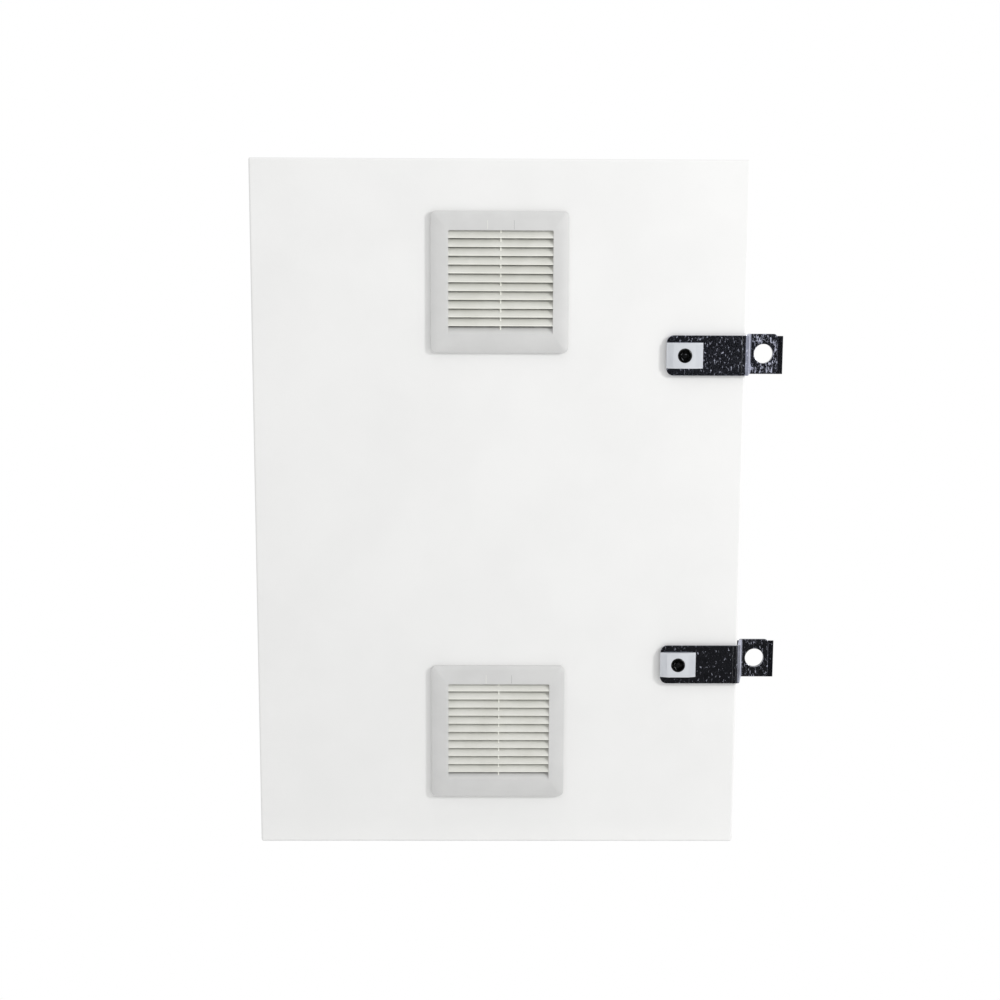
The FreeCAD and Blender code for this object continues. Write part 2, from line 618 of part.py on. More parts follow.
def make_hasp_plate(label, level):
    """A flat bar joggled back round the door's edge to a tab with a padlock hole."""
    body = new_body(label, z=level)
    profile = new_sketch(body, "XY", "0")
    draw_outline(profile, [
        (f"{SIDE} - hasp_reach", HASP_FRONT),
        (f"{SIDE} + web_front", HASP_FRONT),
        (f"{SIDE} + web_foot", TAB_FRONT),
        (f"{SIDE} + tab_end", TAB_FRONT),
        (f"{SIDE} + tab_end", TAB_BACK),
        (f"{SIDE} + web_heel", TAB_BACK),
        (f"{SIDE} + web_inside", HASP_BACK),
        (f"{SIDE} - hasp_reach", HASP_BACK),
    ])
    pad(body, profile, "hasp_width", symmetric=True)
    outer_y = (value_of(HASP_FRONT), value_of(TAB_BACK))
    inner_y = (value_of(HASP_BACK), value_of(TAB_FRONT))
    near_end = value_of(f"{SIDE} - hasp_reach")
    far_end = value_of(f"{SIDE} + tab_end")

    def at_bend(run, middle, levels):
        in_web = near_end + 1 < middle.x < far_end - 1
        return runs_along(run, "z") and in_web and min(abs(middle.y - y) for y in levels) < 0.01

    def at_corner(run, middle, end):
        return runs_along(run, "y") and abs(middle.x - end) < 0.01

    round_edges(body, "hasp_bend", lambda run, middle: at_bend(run, middle, outer_y))
    round_edges(body, "hasp_bend - hasp_metal", lambda run, middle: at_bend(run, middle, inner_y))
    round_edges(body, "plate_corner", lambda run, middle: at_corner(run, middle, near_end))
    round_edges(body, "tab_corner", lambda run, middle: at_corner(run, middle, far_end))
    holes = new_sketch(body, "XZ", "0")
    draw_circle(holes, PADLOCK_X, "0", "padlock_radius")
    draw_circle(holes, LOCK_X, "0", "barrel_radius")
    pocket(body, holes)


def make_locks():
    nuts = []
    for name, sign in ENDS:
        level = f"{sign} * {HASP_LEVEL}"
        make_lock_housing(f"{name}_lock_housing", level)
        make_lock_core(f"{name}_lock_core", level)
        make_cam(name, level)
        nut = hexagon("nut_radius", DOOR_INSIDE, f"{DOOR_INSIDE} + nut_metal", LOCK_X, level)
        hole = rod("barrel_radius", DOOR_INSIDE, f"{DOOR_INSIDE} + nut_metal", "Y", x=LOCK_X, z=level)
        nuts.append(without(nut, hole))
    group("lock_nuts", nuts)


def make_lock_housing(label, level):
    body = new_body(label, x=LOCK_X, z=level)
    profile = new_sketch(body, "XY", "0")
    draw_outline(profile, [
        ("-block_width / 2", HASP_FRONT),
        ("-block_width / 2", f"{HASP_FRONT} - block_edge"),
        ("block_slope - block_width / 2", BLOCK_FRONT),
        ("block_width / 2 - block_slope", BLOCK_FRONT),
        ("block_width / 2", f"{HASP_FRONT} - block_edge"),
        ("block_width / 2", HASP_FRONT),
    ])
    pad(body, profile, "block_height", symmetric=True)
    barrel = new_sketch(body, "XZ", f"{DOOR_BACK} - block_stand")
    draw_circle(barrel, "0", "0", "barrel_radius")
    pad(body, barrel, f"{DOOR_BACK} - block_stand - {HASP_FRONT}")
    bore = new_sketch(body, "XZ", "0")
    draw_circle(bore, "0", "0", "socket_radius")
    pocket(body, bore)


def make_lock_core(label, level):
    seat = f"({BLOCK_FRONT} + socket_depth)"
    tail = f"({CAM_FRONT} - cam_gap)"
    rotor = rod("socket_radius - running_gap", seat, tail, "Y", x=LOCK_X, z=level)
    pin = rod("pin_radius", f"{BLOCK_FRONT} + pin_setback", seat, "Y", x=LOCK_X, z=level)
    x = (f"{LOCK_X} - bit_reach", f"{LOCK_X} + bit_reach")
    z = (f"{level} - pin_radius / 2", f"{level} + pin_radius / 2")
    bits = block(x, (f"{BLOCK_FRONT} + 2 * pin_setback", seat), z)
    shank_x = (f"{LOCK_X} - shank_half", f"{LOCK_X} + shank_half")
    shank_z = (f"{level} - shank_half", f"{level} + shank_half")
    shank = block(shank_x, (tail, CAM_BACK), shank_z)
    node(label, joined(rotor, pin, bits, shank))


def make_cam(name, level):
    """The cam hangs down when unlocked, and turns a quarter to lie behind the flange."""
    body = new_body(f"{name}_cam", x=LOCK_X, z=level)
    face = new_sketch(body, "XZ", CAM_BACK)
    draw_box(face, both_ways("cam_half"), ("-cam_length", "cam_half"))
    draw_box(face, both_ways("shank_half"), both_ways("shank_half"))
    pad(body, face, "cam_metal")
    side = value_of("cam_half") - 0.01
    round_edges(body, "cam_half / 2", lambda run, middle: runs_along(run, "y") and abs(middle.x) > side)
    screw = hexagon("cam_screw", CAM_BACK, f"{CAM_BACK} + shank_half", LOCK_X, level)
    node(f"{name}_cam_screw", screw)


# The changeover switch on the mounting plate

SWITCH_SEAT = f"({PLATE_FRONT} - frame_metal)"
POLE_FRONT = f"({SWITCH_SEAT} - pole_depth)"
OPERATOR_FRONT = f"({SWITCH_SEAT} - operator_depth)"
POLE_HALF = "pole_height / 2"


def make_switch():
    x = both_ways(f"pole_gap + {POLE_WIDTH}")
    z = (f"{SWITCH_LEVEL} - {POLE_HALF} + pole_slot", f"{SWITCH_LEVEL} + {POLE_HALF} - pole_slot")
    node("switch_frame", block(x, (SWITCH_SEAT, PLATE_FRONT), z))
    for name, side in (("first_source", -1), ("second_source", 1)):
        make_pole_block(f"{name}_poles", side)
    group("power_terminals", [power_bar(*spot) for spot in pole_ends()])
    make_operator()


def pole_ends():
    """The middle of each pole, and the end of the block that it comes out at."""
    places = []
    for side in (-1, 1):
        for step in range(POLES):
            across = step - (POLES - 1) / 2
            x = f"({side} * (pole_gap + {POLE_WIDTH} / 2) + {across} * pole_pitch)"
            places.extend((x, up) for up in (-1, 1))
    return places


def power_bar(x, up):
    """A flat terminal bar with the head of its bolt, at the back of a slot."""
    end = f"({SWITCH_LEVEL} + {up} * {POLE_HALF})"
    z = (f"{end} - slot_height", end) if up > 0 else (end, f"{end} + slot_height")
    front = f"({POLE_FRONT} + slot_depth / 2)"
    bar = block((f"{x} - bar_width / 2", f"{x} + bar_width / 2"), (front, f"{front} + bar_metal"), z)
    head = rod("bolt_radius", f"{front} - bolt_radius", front, "Y", x=x, z=f"{end} - {up} * bolt_inset")
    return joined(bar, head)


def make_pole_block(label, side):
    body = new_body(label, x=f"{side} * (pole_gap + {POLE_WIDTH} / 2)", z=SWITCH_LEVEL)
    face = new_sketch(body, "XZ", SWITCH_SEAT)
    draw_box(face, both_ways(f"{POLE_WIDTH} / 2"), both_ways(POLE_HALF))
    pad(body, face, "pole_depth")
    for up in (-1, 1):
        slot = new_sketch(body, "XZ", POLE_FRONT)
        first = "(1 - pole_count) / 2 * pole_pitch"
        x = (f"{first} - pole_slot / 2", f"{first} + pole_slot / 2")
        z = [f"{up} * ({POLE_HALF} - slot_height)", f"{up} * {POLE_HALF}"]
        draw_box(slot, x, z[::up])
        feature = pocket(body, slot, "slot_depth")
        repeat_feature(body, feature, "X_Axis", "pole_pitch", "pole_count")
    ledge = new_sketch(body, "XZ", SWITCH_SEAT)
    draw_box(ledge, both_ways(f"{POLE_WIDTH} / 2 - pole_slot / 2"), both_ways("ledge_height / 2"))
    pad(body, ledge, "pole_depth + ledge_stand")


def make_operator():
    z = (f"{SWITCH_LEVEL} - operator_height / 2", f"{SWITCH_LEVEL} + operator_height / 2")
    case = block(both_ways("operator_half"), (OPERATOR_FRONT, SWITCH_SEAT), z)
    bore = rod("shaft_radius", OPERATOR_FRONT, f"{OPERATOR_FRONT} + shaft_bore", "Y", z=SWITCH_LEVEL)
    node("operator_case", without(case, bore))
    seat = f"({OPERATOR_FRONT} - handle_gap)"
    tip = f"{OPERATOR_FRONT} + shaft_length"
    node("handle_shaft", rod("shaft_radius - running_gap", seat, tip, "Y", z=SWITCH_LEVEL))
    hub = rod("handle_radius", f"{seat} - handle_stand", seat, "Y", z=SWITCH_LEVEL)
    grip_y = (f"{seat} - handle_stand", f"{seat} - grip_gap")
    grip_z = (SWITCH_LEVEL, f"{SWITCH_LEVEL} + handle_length")
    node("changeover_handle", joined(hub, block(both_ways("handle_width / 2"), grip_y, grip_z)))


# Control devices above the switch, terminals and earth bar below it

RAIL_FRONT = f"({PLATE_FRONT} - rail_depth)"
DEVICE_FRONT = f"({RAIL_FRONT} - breaker_depth)"
CASE_FRONT = f"({PLATE_FRONT} - case_depth)"


def make_rail(label, x, level):
    """A top-hat rail: a raised channel with a lip along each side."""
    wall = f"({level} + rail_channel / 2)"
    outside = block(x, (RAIL_FRONT, PLATE_FRONT), (f"{level} - rail_channel / 2", wall))
    hollow_z = (f"{level} - rail_channel / 2 + rail_metal", f"{wall} - rail_metal")
    hollow = block(x, (RAIL_FRONT, f"{PLATE_FRONT} - rail_metal"), hollow_z)
    lip_y = (RAIL_FRONT, f"{RAIL_FRONT} + rail_metal")
    upper = block(x, lip_y, (wall, f"{level} + rail_width / 2"))
    lower = block(x, lip_y, (f"{level} - rail_width / 2", f"{level} - rail_channel / 2"))
    node(label, joined(without(outside, hollow), upper, lower))


def make_breakers():
    rail_x = ("breaker_left - rail_overrun", "breaker_left + 4 * breaker_width")
    make_rail("breaker_rail", rail_x, RAIL_LEVEL)
    pivot = f"({DEVICE_FRONT} + lever_setback)"
    for step, name in enumerate(("first", "second")):
        left = f"(breaker_left + {step} * (breaker_width + breaker_gap))"
        make_breaker(f"{name}_breaker", left, pivot)
        inset = "(lever_wall + lever_side_gap)"
        right = f"({left} + breaker_width - {inset})"
        make_lever(f"{name}_breaker_lever", f"({left} + {inset})", right, pivot)


def make_breaker(label, left, pivot):
    """A rail-mounted breaker: a low body with a nose, slotted for its lever."""
    x = (left, f"{left} + breaker_width")
    low_z = (f"{RAIL_LEVEL} - breaker_height / 2", f"{RAIL_LEVEL} + breaker_height / 2")
    low = block(x, (f"{RAIL_FRONT} - shoulder_depth", RAIL_FRONT), low_z)
    nose_z = (f"{RAIL_LEVEL} - nose_height / 2", f"{RAIL_LEVEL} + nose_height / 2")
    nose = block(x, (DEVICE_FRONT, RAIL_FRONT), nose_z)
    slot_x = (f"{left} + lever_wall", f"{left} + breaker_width - lever_wall")
    slot = rod("lever_radius + clip_gap", slot_x[0], slot_x[1], "X", y=pivot, z=RAIL_LEVEL)
    reach = "(lever_radius + clip_gap)"
    mouth = block(slot_x, (DEVICE_FRONT, pivot), (f"{RAIL_LEVEL} - {reach}", f"{RAIL_LEVEL} + {reach}"))
    node(label, without(joined(low, nose), slot, mouth))


def make_lever(label, left, right, pivot):
    """A drum with a flat toggle that slants down, 30 degrees off straight ahead."""
    drum = rod("lever_radius", left, right, "X", y=pivot, z=RAIL_LEVEL)
    toggle_y = (pivot, f"{pivot} + lever_throw")
    toggle = block((left, right), toggle_y, (RAIL_LEVEL, f"{RAIL_LEVEL} + 2 * lever_half"))
    toggle.Placement.Rotation = FreeCAD.Rotation(FreeCAD.Vector(1, 0, 0), 150)
    place(toggle, left, f"{pivot} + lever_half * sin(30)", f"{RAIL_LEVEL} + lever_half * cos(30)")
    node(label, joined(drum, toggle))


def make_controller():
    middle_x = "(case_width / 2 - case_left)"
    body = new_body("controller_case", x=middle_x, z=RAIL_LEVEL)
    face = new_sketch(body, "XZ", PLATE_FRONT)
    draw_box(face, both_ways("case_width / 2"), both_ways("case_height / 2"))
    pad(body, face, "case_depth")
    round_edges(body, "case_corner", lambda run, middle: runs_along(run, "y"))
    window = new_sketch(body, "XZ", CASE_FRONT)
    low = "screen_rise - screen_height / 2"
    high = "screen_rise + screen_height / 2"
    draw_box(window, both_ways("screen_width / 2"), (low, high))
    pocket(body, window, "screen_recess")
    wells = new_sketch(body, "XZ", CASE_FRONT)
    names = ("auto", "test", "first", "second")
    steps = [f"{number - (len(names) - 1) / 2} * button_pitch" for number in range(len(names))]
    for step in steps:
        draw_circle(wells, step, "-button_drop", "button_radius + clip_gap")
    pocket(body, wells, "button_well")
    screen_x = (f"{middle_x} - screen_width / 2", f"{middle_x} + screen_width / 2")
    screen_back = f"{CASE_FRONT} + screen_recess"
    screen_z = (f"{RAIL_LEVEL} + {low}", f"{RAIL_LEVEL} + {high}")
    node("controller_screen", block(screen_x, (f"{screen_back} - screen_metal", screen_back), screen_z))
    button_y = (f"{CASE_FRONT} - button_stand", f"{CASE_FRONT} + button_root")
    for name, step in zip(names, steps):
        spot = {"x": f"({middle_x} + {step})", "z": f"{RAIL_LEVEL} - button_drop"}
        node(f"{name}_button", rod("button_radius", *button_y, "Y", **spot))


def make_terminals():
    row_end = f"({TERMINALS_EACH_SIDE} * terminal_width)"
    make_rail("terminal_rail", both_ways(f"{row_end} + 4 * terminal_width"), TERMINAL_LEVEL)
    front = f"({RAIL_FRONT} - terminal_depth)"
    z = (f"{TERMINAL_LEVEL} - terminal_height / 2", f"{TERMINAL_LEVEL} + terminal_height / 2")
    blocks = []
    for step in range(-TERMINALS_EACH_SIDE, TERMINALS_EACH_SIDE):
        x = (f"{step} * terminal_width + terminal_gap", f"{step + 1} * terminal_width - terminal_gap")
        wells = []
        for up in (-1, 1):
            spot = {"x": f"{step + 0.5} * terminal_width", "z": f"{TERMINAL_LEVEL} + {up} * well_rise"}
            wells.append(rod("terminal_well", front, f"{front} + well_depth", "Y", **spot))
        blocks.append(without(block(x, (front, RAIL_FRONT), z), *wells))
    bracket_y = (f"{RAIL_FRONT} - bracket_depth", RAIL_FRONT)
    bracket_z = (f"{TERMINAL_LEVEL} - bracket_height / 2", f"{TERMINAL_LEVEL} + bracket_height / 2")
    for x in ((f"-{row_end} - bracket_width", f"-{row_end}"), (row_end, f"{row_end} + bracket_width")):
        blocks.append(block(x, bracket_y, bracket_z))
    group("control_terminals", blocks)


def make_ducts():
    for name, side in (("left", -1), ("right", 1)):
        body = new_body(f"{name}_duct", x=f"{side} * ({SIDE} - duct_inset - duct_width / 2)")
        face = new_sketch(body, "XZ", PLATE_FRONT)
        draw_box(face, both_ways("duct_width / 2"), both_ways(DUCT_HALF))
        pad(body, face, "duct_depth")
        hollow = new_sketch(body, "XZ", f"{PLATE_FRONT} - duct_depth + duct_wall")
        draw_box(hollow, both_ways("duct_width / 2 - duct_wall"), both_ways(DUCT_HALF))
        pocket(body, hollow, "duct_depth - 2 * duct_wall")
        slot = new_sketch(body, "YZ", "0")
        y = (f"{PLATE_FRONT} - duct_depth + slot_front", f"{PLATE_FRONT} - slot_back")
        draw_box(slot, y, (f"-{DUCT_HALF} + duct_slot", f"-{DUCT_HALF} + 2 * duct_slot"))
        feature = pocket(body, slot)
        repeat_feature(body, feature, "Z_Axis", "duct_pitch", f"floor(2 * {DUCT_HALF} / duct_pitch)")


def make_earth_bar():
    """A drawn bar with a row of screws, on two insulators."""
    stand = f"({PLATE_FRONT} - insulator_height)"
    face = f"({stand} - earth_metal)"
    feet = []
    for side in (-1, 1):
        x = f"{side} * (earth_half - insulator_inset)"
        feet.append(rod("insulator_radius", stand, PLATE_FRONT, "Y", x=x, z=EARTH_LEVEL))
    group("bar_insulators", feet)
    z = (f"{EARTH_LEVEL} - earth_height / 2", f"{EARTH_LEVEL} + earth_height / 2")
    node("earth_bar", block(both_ways("earth_half"), (face, stand), z))
    screws = []
    for number in range(EARTH_SCREWS):
        x = f"{number - (EARTH_SCREWS - 1) / 2} * earth_pitch"
        head = rod("earth_screw", f"{face} - earth_screw_head", face, "Y", x=x, z=EARTH_LEVEL)
        screws.append(head)
    group("earth_screws", screws)


make_cabinet_shell()
make_cabinet_tabs()
make_hinges()
make_mounting_plate()
make_gland_plate()
make_door_panel()
make_door_gasket()
make_grilles()
make_hasps()
make_locks()
make_switch()
make_breakers()
make_controller()
make_terminals()
make_ducts()
make_earth_bar()
doc.recompute()

for item in doc.Objects:
    if {"Invalid", "Error"} & set(item.State):
        raise ValueError(f"{item.Label} failed: {item.State}")
for item in nodes:
    if item.Shape.isNull() or not item.Shape.isValid():
        raise ValueError(f"{item.Label} has a bad shape")

os.makedirs("parts", exist_ok=True)
for item in nodes:
    item.Shape.exportStep(f"parts/{item.Label}.step")
print(len(nodes), "nodes written")
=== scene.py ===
# %% [markdown]
# # An automatic transfer switch in its wall enclosure
# The CAD model holds every part at its real size and place. This lesson gives it a camera,
# light, finishes and the finer shapes that the eye expects: rounded edges, louvre blades,
# ribs, screw heads. Lengths are in metres, and MM turns millimetres into them.

# %% Load the frame
import json
import math

import bmesh
import bpy
from mathutils import Matrix, Vector


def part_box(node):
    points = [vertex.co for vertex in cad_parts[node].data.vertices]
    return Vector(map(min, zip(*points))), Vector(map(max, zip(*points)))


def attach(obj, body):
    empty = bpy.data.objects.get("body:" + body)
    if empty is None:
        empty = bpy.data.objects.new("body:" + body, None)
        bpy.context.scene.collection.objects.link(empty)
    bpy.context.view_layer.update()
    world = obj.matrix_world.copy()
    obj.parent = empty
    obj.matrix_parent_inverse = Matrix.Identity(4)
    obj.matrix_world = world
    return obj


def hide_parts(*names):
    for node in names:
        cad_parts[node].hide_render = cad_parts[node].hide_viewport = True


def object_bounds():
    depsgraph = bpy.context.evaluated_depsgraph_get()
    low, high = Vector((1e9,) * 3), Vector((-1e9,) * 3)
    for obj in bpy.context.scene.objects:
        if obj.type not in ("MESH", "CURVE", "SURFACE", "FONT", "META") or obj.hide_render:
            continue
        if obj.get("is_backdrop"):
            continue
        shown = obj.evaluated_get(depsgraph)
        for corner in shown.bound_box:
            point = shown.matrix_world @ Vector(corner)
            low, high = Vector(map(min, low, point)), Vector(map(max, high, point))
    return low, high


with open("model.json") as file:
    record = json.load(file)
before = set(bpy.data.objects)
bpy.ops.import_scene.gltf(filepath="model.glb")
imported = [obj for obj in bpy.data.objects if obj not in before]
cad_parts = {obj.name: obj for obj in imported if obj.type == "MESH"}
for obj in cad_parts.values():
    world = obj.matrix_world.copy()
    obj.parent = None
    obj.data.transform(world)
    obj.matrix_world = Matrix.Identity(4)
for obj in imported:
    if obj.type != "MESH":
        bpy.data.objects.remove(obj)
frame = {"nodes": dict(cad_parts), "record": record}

MM = 0.001
scene = bpy.context.scene
cad_low, cad_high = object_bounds()
print(len(frame["nodes"]), "CAD nodes, from", cad_low, "to", cad_high)

# %% [markdown]
# ## Camera
# The camera stands above the middle of the box and looks down by fourteen degrees, more than it
# needs to, which makes the sides of the door draw together a little towards the foot. The lens is
# a long one, close to 90 mm. A vertical shift brings the box back to the middle of the frame.

# %% Camera
CAMERA_PLACE = Vector((-0.0419, -2.7753, 0.2904))
LOOK_DOWN = math.radians(14.068)
LOOK_ASIDE = math.radians(-1.008)
TILT = math.radians(-0.271)

camera = bpy.data.objects.new("camera", bpy.data.cameras.new("camera"))
scene.collection.objects.link(camera)
camera.data.sensor_width = 36
camera.data.lens = 88.2
camera.data.shift_x = 0.0006
camera.data.shift_y = 0.3343
camera.data.clip_end = 30
aim = Matrix.Rotation(LOOK_ASIDE, 4, "Z") @ Matrix.Rotation(-LOOK_DOWN, 4, "X")
aim = aim @ Matrix.Rotation(TILT, 4, "Y") @ Matrix.Rotation(math.radians(90), 4, "X")
camera.matrix_world = Matrix.Translation(CAMERA_PLACE) @ aim
scene.camera = camera
print("camera at", CAMERA_PLACE)

# %% [markdown]
# ## Colours and nodes
# Finishes are named by the sRGB hex value that a paint chart or a colour picker gives. Shaders
# want linear light, so one function converts them. Another adds a node with its settings and
# links, which keeps each recipe to a few lines.

# %% Helpers for colours and nodes
def linear(code):
    """An sRGB hex value as linear red, green, blue and alpha."""
    parts = [int(code[step:step + 2], 16) / 255 for step in (0, 2, 4)]
    return [c / 12.92 if c <= 0.04045 else ((c + 0.055) / 1.055) ** 2.4 for c in parts] + [1.0]


def add(tree, kind, inputs=(), **settings):
    """Adds a node, sets its properties, and fills or links its inputs."""
    node = tree.nodes.new(kind)
    for name, value in settings.items():
        setattr(node, name, value)
    for key, value in dict(inputs).items():
        if isinstance(value, bpy.types.NodeSocket):
            tree.links.new(value, node.inputs[key])
        else:
            node.inputs[key].default_value = value
    return node


def graded(tree, factor, *stops):
    """A colour ramp through (position, hex) stops."""
    node = add(tree, "ShaderNodeValToRGB", {"Fac": factor})
    ramp = node.color_ramp
    ramp.elements[0].position, ramp.elements[0].color = stops[0][0], linear(stops[0][1])
    ramp.elements[1].position, ramp.elements[1].color = stops[-1][0], linear(stops[-1][1])
    for position, code in stops[1:-1]:
        ramp.elements.new(position).color = linear(code)
    return node.outputs["Color"]


def ranged(tree, value, low, high):
    """Spreads a noise value over a range."""
    limits = {"Value": value, "From Min": 0.3, "From Max": 0.7, "To Min": low, "To Max": high}
    return add(tree, "ShaderNodeMapRange", limits).outputs["Result"]


# %% [markdown]
# ## Studio
# An even white surround and one soft lamp from the right, which gives each vent its shadow on
# the left. A white floor under the box throws light up at it. The floor is hidden from the
# camera, so the box stands on plain white. Bright zinc mirrors what stands in front of it, so two
# dark cards, one behind the camera and one below it, give the hasps their depth. The cards too
# are hidden from the camera, and they neither cast shadows nor darken the paint.

# %% Floor, surround and lamps
def plain(name, code, roughness):
    material = bpy.data.materials.new(name)
    material.use_nodes = True
    shader = material.node_tree.nodes["Principled BSDF"]
    shader.inputs["Base Color"].default_value = linear(code)
    shader.inputs["Roughness"].default_value = roughness
    return material


def stage_plane(name, size, place, turn, material):
    """A flat sheet that only takes part in the lighting."""
    form = bmesh.new()
    move = Matrix.Translation(place) @ Matrix.Rotation(turn, 4, "X") @ Matrix.Diagonal((*size, 1, 1))
    bmesh.ops.create_grid(form, x_segments=1, y_segments=1, size=0.5, matrix=move)
    mesh = bpy.data.meshes.new(name)
    form.to_mesh(mesh)
    form.free()
    mesh.materials.append(material)
    plane = bpy.data.objects.new(name, mesh)
    scene.collection.objects.link(plane)
    plane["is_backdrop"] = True
    plane.visible_camera = False
    return plane


stage_plane("floor", (14, 14), (0, 0, cad_low.z), 0, plain("white floor", "F6F6F6", 0.8))
black_card = plain("black card", "070708", 0.9)
upright = stage_plane("dark_card", (2.2, 2.6), (0.1, -3.6, 0.45), math.radians(90), black_card)
flat = stage_plane("dark_floor_card", (1.4, 2.9), (0.2, -1.75, cad_low.z + 2 * MM), 0, black_card)
for card in (upright, flat):
    card.visible_diffuse = False
    card.visible_shadow = False

world = bpy.data.worlds.new("studio")
scene.world = world
world.use_nodes = True
surround = world.node_tree.nodes["Background"]
surround.inputs["Color"].default_value = (1, 1, 1, 1)
seen = add(world.node_tree, "ShaderNodeLightPath").outputs["Is Camera Ray"]
glow = add(world.node_tree, "ShaderNodeMapRange", {"Value": seen, "To Min": 0.715, "To Max": 1.0})
world.node_tree.links.new(glow.outputs["Result"], surround.inputs["Strength"])


def lamp(name, place, target, size, power):
    light = bpy.data.objects.new(name, bpy.data.lights.new(name, "AREA"))
    light.data.shape = "SQUARE"
    light.data.size = size
    light.data.energy = power
    scene.collection.objects.link(light)
    light.location = place
    light.rotation_euler = (Vector(target) - Vector(place)).to_track_quat("-Z", "Y").to_euler()


lamp("key_lamp", (2.0, -2.0, 1.0), (0, -0.25, 0), 0.4, 27)
lamp("top_lamp", (-0.3, -1.4, 2.4), (0, -0.2, 0), 1.4, 5)
scene.view_settings.view_transform = "Standard"
print("studio ready")

# %% [markdown]
# ## Finishes
# Each finish starts from what the real surface is and how it was made. Most share a recipe:
# a broad, faint change of colour, a fine grain that lifts the surface by a few hundredths of a
# millimetre, and gloss that varies with the grain. The grain is given by its real size.

# %% The shared recipe
def finish(name, dark, light, roughness, grain, lift, metallic=0.0, stretch=(1, 1, 1), spread=0.06,
           coat=0.0):
    """A material with a colour that drifts, and a grain that catches the light."""
    material = bpy.data.materials.new(name)
    material.use_nodes = True
    tree = material.node_tree
    shader = tree.nodes["Principled BSDF"]
    shader.inputs["Metallic"].default_value = metallic
    shader.inputs["Coat Weight"].default_value = coat
    place = add(tree, "ShaderNodeTexCoord").outputs["Object"]
    spot = add(tree, "ShaderNodeMapping", {"Vector": place, "Scale": stretch}).outputs["Vector"]
    grains = {"Vector": spot, "Scale": 1 / grain, "Detail": 3.0}
    fine = add(tree, "ShaderNodeTexNoise", grains).outputs["Fac"]
    drift = {"Vector": spot, "Scale": 0.02 / grain, "Detail": 4.0}
    broad = add(tree, "ShaderNodeTexNoise", drift).outputs["Fac"]
    tree.links.new(graded(tree, broad, (0.35, dark), (0.65, light)), shader.inputs["Base Color"])
    tree.links.new(ranged(tree, broad, roughness - spread, roughness + spread), shader.inputs["Roughness"])
    bump = add(tree, "ShaderNodeBump", {"Height": fine, "Distance": lift, "Strength": 0.6})
    tree.links.new(bump.outputs["Normal"], shader.inputs["Normal"])
    return material


# %% [markdown]
# ### Powder coat, plastics and rubber
# Polyester powder melts into a skin with a slight orange peel, about a millimetre and a half
# from dimple to dimple. Moulded ABS takes a fine spark-eroded grain from its tool. The pole
# blocks are glass-filled polyester, a dull black. The gasket is closed-cell foam.

# %% Painted and moulded finishes
powder_coat = finish("powder coated steel, white", "F0F0EF", "F2F2F1", 0.40, 1.5 * MM, 0.02 * MM)
grille_abs = finish("moulded ABS, light grey", "D1D1D0", "D5D5D4", 0.46, 0.5 * MM, 0.02 * MM)
blade_abs = finish("moulded ABS, pale louvre blades", "D8D8D1", "E0E0DA", 0.44, 0.5 * MM, 0.015 * MM)
# The noses, the rib and the left clip line share a paler ABS: a painted highlight.
highlight_abs = finish("moulded ABS, pale with painted highlight", "F2F2E9", "F8F8F0", 0.40, 0.5 * MM, 0.01 * MM)
block_pa = finish("moulded polyamide, bluish grey", "CDD0D5", "D2D5DA", 0.42, 0.4 * MM, 0.015 * MM)
groove_shade = finish("shadow line between mouldings", "8E8F90", "989999", 0.7, 0.4 * MM, 0.01 * MM)
black_bmc = finish("glass-filled polyester, black", "17181A", "1F2022", 0.52, 0.6 * MM, 0.03 * MM)
grey_pc = finish("moulded polycarbonate, grey", "8D9294", "979C9E", 0.42, 0.5 * MM, 0.02 * MM)
case_grey = finish("moulded polycarbonate, dark grey", "3A3E42", "44484C", 0.45, 0.5 * MM, 0.02 * MM)
white_pa = finish("moulded polyamide, white", "E6E6E2", "EDEDEA", 0.40, 0.5 * MM, 0.02 * MM)
duct_pvc = finish("extruded PVC, grey", "A3A7A8", "ADB1B2", 0.48, 0.8 * MM, 0.02 * MM, stretch=(1, 1, 0.1))
signal_red = finish("moulded ABS, signal red", "A51A16", "B3201B", 0.32, 0.5 * MM, 0.012 * MM, coat=0.2)
signal_green = finish("moulded ABS, green", "16733C", "1B8145", 0.32, 0.5 * MM, 0.012 * MM, coat=0.2)
epdm_foam = finish("closed-cell EPDM foam, black", "1B1C1D", "262728", 0.85, 0.7 * MM, 0.12 * MM)
die_cast = finish("coated zinc die casting, black", "08080A", "101013", 0.26, 0.3 * MM, 0.02 * MM, coat=0.4)
print("painted and moulded finishes made")

# %% [markdown]
# ### Zinc plate, steel, brass and tinned copper
# Bright zinc on flat bar keeps the rolling lines of the steel, with cloudy patches and a bloom
# of pale streaks that is thicker on the tabs. The lower hasp is drawn a shade darker than the
# upper, and the cabinet's tabs darker still, as painted reflection of one finish. The slanting
# web between plate and tab is painted pale all over, a painted reflection of a white wall.
# Inner brackets are plain zinc, brass is drawn, and tinned copper is soft and pale.

# %% Metals
WEB_MIDDLE = -233.5 * MM
WEB_HALF = 16.5 * MM


